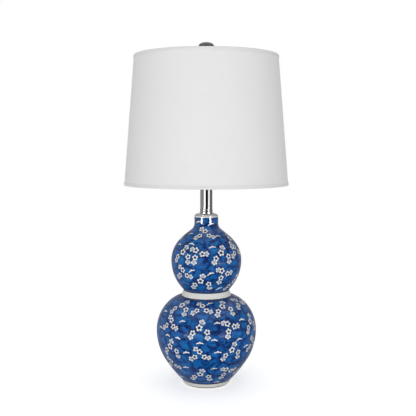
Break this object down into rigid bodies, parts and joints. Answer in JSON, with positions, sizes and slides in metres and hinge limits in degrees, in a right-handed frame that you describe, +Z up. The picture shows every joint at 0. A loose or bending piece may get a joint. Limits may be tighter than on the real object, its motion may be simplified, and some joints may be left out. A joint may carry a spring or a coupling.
{
  "type": "table lamp",
  "caption": "Double gourd table lamp: blue and white glazed ceramic body, polished metal neck, tapered white fabric drum shade held by a harp and a round finial.",
  "frame": {"origin": "middle of the felt base's underside, on the table", "axes": "+Z up along the lamp's axis; the harp stands in the YZ plane; the switch knob points to +X and the cord outlet to +Y, the back"},
  "size_m": [0.3302, 0.3302, 0.6892],
  "materials": {
    "felt": "pressed wool felt, dark grey",
    "glaze": "glossy cobalt blue underglaze with a white plum blossom pattern, white lip, waist band and foot",
    "black_nylon": "moulded nylon",
    "rubber": "soft washer",
    "plated_steel": "nickel-plated steel",
    "satin_nickel": "satin spun metal",
    "polished_nickel": "mirror-polished nickel plate",
    "dark_nickel": "mirror-polished, slightly dark nickel plate",
    "socket_metal": "nickel-plated brass, drawn",
    "insulating_card": "pressed fibre card",
    "black_phenolic": "moulded phenolic",
    "brass": "bare brass",
    "solder": "solder cap",
    "black_glass": "fused black glass",
    "bulb_aluminium": "rolled thread",
    "frosted_glass": "soft white inner coating",
    "frame_white": "white baked enamel",
    "shade_styrene": "white styrene sheet",
    "shade_linen": "plain white woven cover",
    "shade_tape": "white woven tape, folded over the edge"
  },
  "bodies": {
    "root": {"felt_base": "felt", "gourd_body": "glaze", "cord_bushing": "black_nylon", "cushion_washer": "rubber", "bottom_washer": "plated_steel", "bottom_nut": "plated_steel", "lamp_rod": "plated_steel", "vase_cap": "satin_nickel", "lower_check_ring": "polished_nickel", "neck_tube": "polished_nickel", "upper_check_ring": "polished_nickel", "harp_saddle": "plated_steel", "saddle_nut": "plated_steel", "socket_cap": "socket_metal", "socket_shell": "socket_metal", "socket_sleeve": "insulating_card", "socket_interior": "black_phenolic", "terminal_screws": "brass", "screw_shell": "brass", "centre_contact": "brass"},
    "switch": {"switch_shaft": "brass", "switch_knob": "black_phenolic"},
    "harp": {"harp_wire": "plated_steel"},
    "ferrule_front": {"harp_ferrule_front": "plated_steel"},
    "ferrule_back": {"harp_ferrule_back": "plated_steel"},
    "swivel": {"harp_swivel": "plated_steel"},
    "shade": {"shade_spider": "frame_white", "bottom_ring": "frame_white", "shade_liner": "shade_styrene", "shade_fabric": "shade_linen", "bottom_trim": "shade_tape", "top_trim": "shade_tape"},
    "finial_carrier": {"finial_insert": "polished_nickel"},
    "finial": {"finial_knob": "dark_nickel"},
    "bulb_carrier": {"bulb_contact": "solder"},
    "bulb": {"bulb_globe": "frosted_glass", "bulb_cap": "bulb_aluminium", "bulb_insulator": "black_glass"}
  },
  "joints": [
    {"name": "switch_turn", "type": "hinge", "parent": "root", "child": "switch", "pos_m": [0, 0, 0.4768], "axis": [1, 0, 0], "continuous": true},
    {"name": "harp_lift", "type": "slide", "parent": "root", "child": "harp", "axis": [0, 0, 1], "range_m": [0, 0.03]},
    {"name": "ferrule_front_slide", "type": "slide", "parent": "harp", "child": "ferrule_front", "axis": [0, 0, 1], "range_m": [0, 0.012]},
    {"name": "ferrule_back_slide", "type": "slide", "parent": "harp", "child": "ferrule_back", "axis": [0, 0, 1], "range_m": [0, 0.012]},
    {"name": "shade_turn", "type": "hinge", "parent": "harp", "child": "swivel", "pos_m": [0, 0, 0.6495], "axis": [0, 0, 1], "continuous": true},
    {"name": "shade_lift", "type": "slide", "parent": "swivel", "child": "shade", "axis": [0, 0, 1], "range_m": [0, 0.26]},
    {"name": "finial_rise", "type": "slide", "parent": "shade", "child": "finial_carrier", "axis": [0, 0, 1], "range_m": [0, 0.0106]},
    {"name": "finial_turn", "type": "hinge", "parent": "finial_carrier", "child": "finial", "pos_m": [0, 0, 0.6772], "axis": [0, 0, 1], "range_deg": [0, 4000]},
    {"name": "bulb_rise", "type": "slide", "parent": "root", "child": "bulb_carrier", "axis": [0, 0, 1], "range_m": [0, 0.0182]},
    {"name": "bulb_turn", "type": "hinge", "parent": "bulb_carrier", "child": "bulb", "pos_m": [0, 0, 0.5172], "axis": [0, 0, 1], "range_deg": [0, 1800]}
  ],
  "couplings": [
    {"joint": "finial_rise", "follows": "finial_turn", "m_per_rad": 0.0001497},
    {"joint": "bulb_rise", "follows": "bulb_turn", "m_per_rad": 0.000576}
  ]
}
